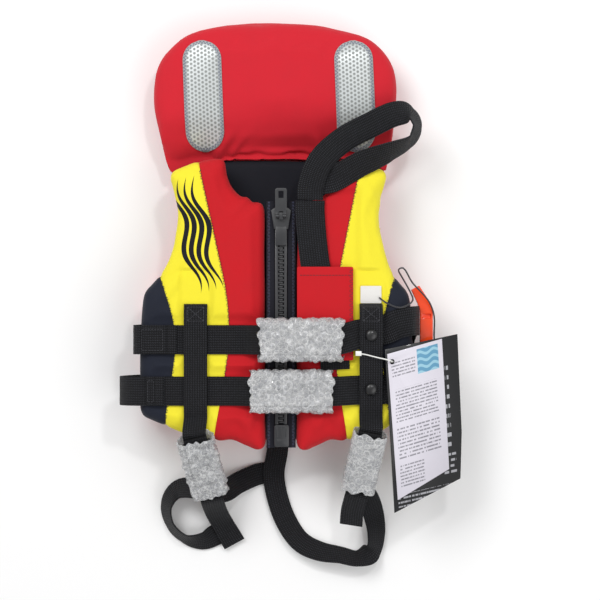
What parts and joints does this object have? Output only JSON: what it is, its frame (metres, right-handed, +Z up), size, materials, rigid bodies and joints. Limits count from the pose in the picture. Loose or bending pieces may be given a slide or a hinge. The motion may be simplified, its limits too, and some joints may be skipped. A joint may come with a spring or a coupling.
{
  "type": "life jacket",
  "caption": "Child's foam life jacket lying on its back: padded collar, zip front, two buckled belts, crotch straps, lifting loop, whistle and swing cards.",
  "frame": {"origin": "on the flat underside of the back panel, under the zip", "axes": "+Z up off the floor, +Y from hem to collar, +X towards the wearer's left side"},
  "size_m": [0.2949, 0.4775, 0.0838],
  "materials": {
    "red_neoprene": "knit-faced neoprene, matt",
    "yellow_neoprene": "knit-faced neoprene, matt",
    "navy_neoprene": "knit-faced neoprene, matt",
    "lining": "smooth dark knit",
    "foam": "closed-cell foam",
    "zip_tape": "woven tape with zigzag stitching",
    "zip_plastic": "moulded plastic",
    "buckle_plastic": "moulded plastic",
    "bubble_wrap": "clear crinkled film",
    "reflective": "silver retroreflective film with hexagonal cells",
    "whistle_plastic": "glossy orange plastic",
    "lanyard_cord": "braided cord",
    "white_ribbon": "woven satin ribbon",
    "white_card": "printed card",
    "black_card": "coated card",
    "clear_plastic": "clear nylon",
    "black_webbing": "ribbed polyester webbing"
  },
  "bodies": {
    "jacket": {"back_cover": "red_neoprene", "back_lining": "lining", "back_foam": "foam", "red_panel_left": "red_neoprene", "yellow_panel_left": "yellow_neoprene", "side_panel_left": "navy_neoprene", "front_lining_left": "lining", "front_foam_left": "foam", "red_panel_right": "red_neoprene", "yellow_panel_right": "yellow_neoprene", "side_panel_right": "navy_neoprene", "front_lining_right": "lining", "front_foam_right": "foam", "zip_tape_left": "zip_tape", "zip_teeth_left": "zip_plastic", "zip_tape_right": "zip_tape", "zip_teeth_right": "zip_plastic", "zip_box": "zip_plastic", "upper_buckle_socket": "buckle_plastic", "upper_buckle_plug": "buckle_plastic", "upper_sleeve": "bubble_wrap", "upper_belt": "black_webbing", "lower_buckle_socket": "buckle_plastic", "lower_buckle_plug": "buckle_plastic", "lower_sleeve": "bubble_wrap", "lower_belt": "black_webbing", "crotch_buckle_left_socket": "buckle_plastic", "crotch_buckle_left_plug": "buckle_plastic", "crotch_sleeve_left": "bubble_wrap", "crotch_buckle_right_socket": "buckle_plastic", "crotch_buckle_right_plug": "buckle_plastic", "crotch_sleeve_right": "bubble_wrap", "vertical_strap_left": "black_webbing", "vertical_strap_right": "black_webbing", "press_stud_upper": "buckle_plastic", "press_stud_lower": "buckle_plastic", "crotch_strap_left": "black_webbing", "crotch_tail_left": "black_webbing", "crotch_strap_right": "black_webbing", "crotch_tail_right": "black_webbing", "lifting_loop_base": "black_webbing", "loop_pocket": "red_neoprene", "ribbon_loop": "white_ribbon", "whistle": "whistle_plastic", "whistle_lanyard": "lanyard_cord", "card_fastener": "clear_plastic"},
    "zip_slider": {"zip_slider": "zip_plastic"},
    "zip_pull": {"zip_pull": "zip_plastic"},
    "upper_prong_lower": {"upper_buckle_prong_lower": "buckle_plastic"},
    "upper_prong_upper": {"upper_buckle_prong_upper": "buckle_plastic"},
    "lower_prong_lower": {"lower_buckle_prong_lower": "buckle_plastic"},
    "lower_prong_upper": {"lower_buckle_prong_upper": "buckle_plastic"},
    "collar": {"collar_back_cover": "red_neoprene", "collar_front_cover": "red_neoprene", "collar_foam": "foam", "reflective_patch_left": "reflective", "reflective_patch_right": "reflective"},
    "lifting_loop": {"lifting_loop": "black_webbing"},
    "white_card": {"card_white": "white_card"},
    "black_card": {"card_black": "black_card"}
  },
  "joints": [
    {"name": "zip_slider_travel", "type": "slide", "parent": "jacket", "child": "zip_slider", "axis": [0, -1, 0], "range_m": [0, 0.1665]},
    {"name": "zip_pull_flip", "type": "hinge", "parent": "zip_slider", "child": "zip_pull", "pos_m": [0, 0.072, 0.0647], "axis": [1, 0, 0], "range_deg": [0, 170]},
    {"name": "upper_buckle_squeeze", "type": "slide", "parent": "jacket", "child": "upper_prong_lower", "axis": [0, 1, 0], "range_m": [0, 0.0025], "stiffness_N_per_m": 400},
    {"name": "upper_buckle_squeeze_far", "type": "slide", "parent": "jacket", "child": "upper_prong_upper", "axis": [0, -1, 0], "range_m": [0, 0.0025], "stiffness_N_per_m": 400},
    {"name": "lower_buckle_squeeze", "type": "slide", "parent": "jacket", "child": "lower_prong_lower", "axis": [0, 1, 0], "range_m": [0, 0.0025], "stiffness_N_per_m": 400},
    {"name": "lower_buckle_squeeze_far", "type": "slide", "parent": "jacket", "child": "lower_prong_upper", "axis": [0, -1, 0], "range_m": [0, 0.0025], "stiffness_N_per_m": 400},
    {"name": "collar_fold", "type": "hinge", "parent": "jacket", "child": "collar", "pos_m": [0, 0.12465, 0.0215], "axis": [1, 0, 0], "range_deg": [0, 45]},
    {"name": "lifting_loop_lift", "type": "hinge", "parent": "jacket", "child": "lifting_loop", "pos_m": [0.025, 0.0855, 0.0705], "axis": [1, 0, 0], "range_deg": [0, 90]},
    {"name": "white_card_swing", "type": "hinge", "parent": "jacket", "child": "white_card", "pos_m": [0.0946, -0.0525, 0.077], "axis": [0.2421, -0.0581, 0.9685], "range_deg": [-2, 20]},
    {"name": "black_card_swing", "type": "hinge", "parent": "jacket", "child": "black_card", "pos_m": [0.0946, -0.0525, 0.077], "axis": [0.2421, -0.0581, 0.9685], "range_deg": [-2, 20]}
  ],
  "couplings": [
    {"joint": "upper_buckle_squeeze_far", "follows": "upper_buckle_squeeze", "ratio": 1},
    {"joint": "lower_buckle_squeeze_far", "follows": "lower_buckle_squeeze", "ratio": 1},
    {"joint": "lifting_loop_lift", "follows": "collar_fold", "ratio": 2}
  ]
}
